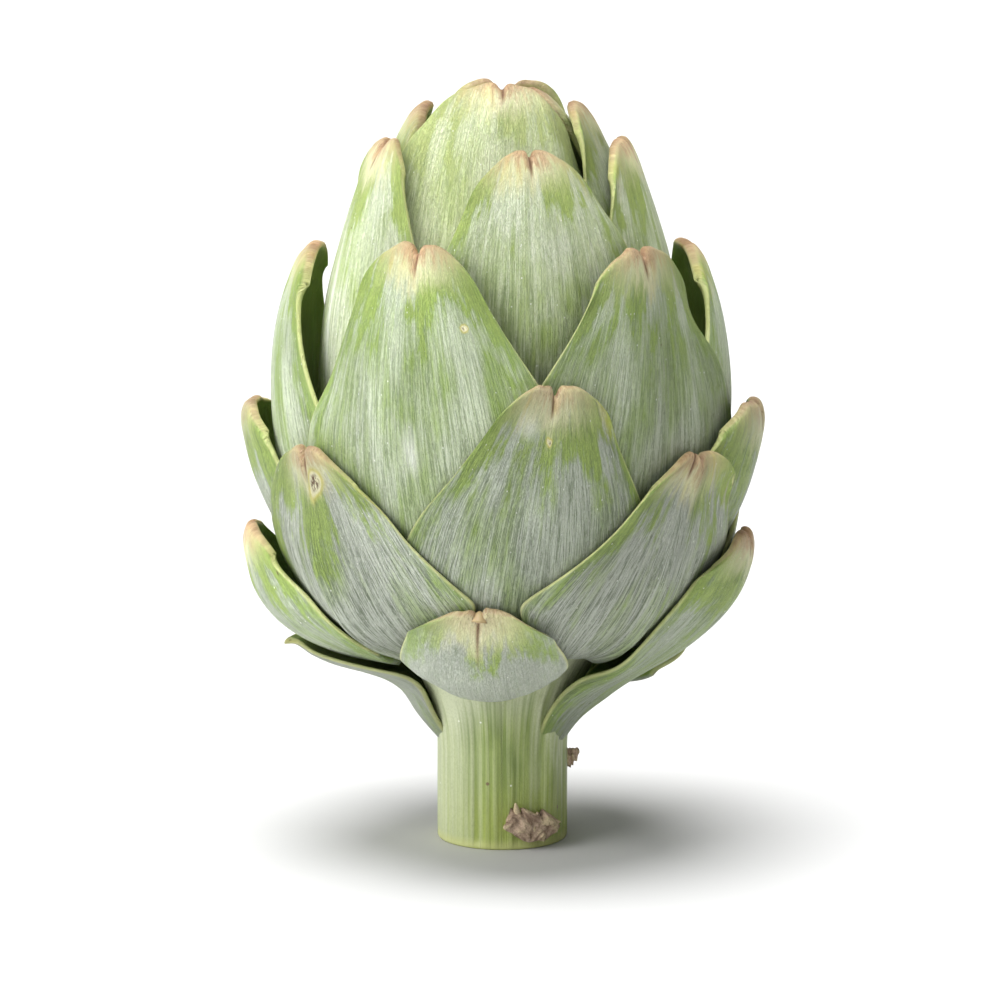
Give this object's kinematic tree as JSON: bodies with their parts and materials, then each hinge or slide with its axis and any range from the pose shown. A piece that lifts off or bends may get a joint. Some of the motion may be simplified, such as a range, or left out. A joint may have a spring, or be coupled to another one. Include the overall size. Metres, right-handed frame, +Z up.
{
  "type": "globe artichoke",
  "caption": "Whole globe artichoke standing on its cut stem, with overlapping fleshy bracts around a closed bud.",
  "frame": {"origin": "middle of the stem's flat cut face, which rests on the table", "axes": "+Z up along the stem to the tip of the head, -Y towards the front, +X to the right seen from the front"},
  "size_m": [0.09, 0.0851, 0.1344],
  "materials": {
    "stem_skin": "fresh green skin with a thin pale bloom and lengthwise streaks",
    "bud_leaf": "pale yellow-green leaf, satin",
    "crown_leaf": "yellow-green leaf with fine parallel veins and a thin pale bloom",
    "upper_leaf": "pale green leaf with fine parallel veins and a whitish bloom",
    "shoulder_leaf": "green leaf with fine parallel veins and a whitish bloom",
    "belly_leaf": "grey-green leaf with fine parallel veins, a whitish bloom and pinkish tips",
    "skirt_leaf": "grey-green leaf with a heavier whitish bloom and dried brown tips",
    "collar_leaf": "dull grey-green leaf with a thin yellow rim",
    "foot_leaf": "grey-green leaf with a thin yellow rim and brown tips",
    "dried_leaf": "dry papery brown leaf"
  },
  "bodies": {
    "root": {"stem_and_heart": "stem_skin", "inner_bud": "bud_leaf", "crown_bract_1": "crown_leaf", "crown_bract_2": "crown_leaf", "crown_bract_3": "crown_leaf", "crown_bract_4": "crown_leaf", "upper_bract_1": "upper_leaf", "upper_bract_2": "upper_leaf", "upper_bract_3": "upper_leaf", "upper_bract_4": "upper_leaf", "upper_bract_5": "upper_leaf", "shoulder_bract_1": "shoulder_leaf", "shoulder_bract_2": "shoulder_leaf", "shoulder_bract_3": "shoulder_leaf", "shoulder_bract_4": "shoulder_leaf", "shoulder_bract_5": "shoulder_leaf", "shoulder_bract_6": "shoulder_leaf", "belly_bract_1": "belly_leaf", "belly_bract_2": "belly_leaf", "belly_bract_3": "belly_leaf", "belly_bract_4": "belly_leaf", "belly_bract_5": "belly_leaf", "skirt_bract_1": "skirt_leaf", "skirt_bract_2": "skirt_leaf", "skirt_bract_3": "skirt_leaf", "skirt_bract_4": "skirt_leaf", "skirt_bract_5": "skirt_leaf", "collar_bract_1": "collar_leaf", "collar_bract_2": "collar_leaf", "collar_bract_3": "collar_leaf", "collar_bract_4": "collar_leaf", "foot_bract_1": "foot_leaf", "foot_bract_2": "foot_leaf", "foot_bract_3": "foot_leaf", "foot_bract_4": "foot_leaf", "dry_scale": "dried_leaf", "leaf_stub": "dried_leaf"}
  },
  "joints": []
}
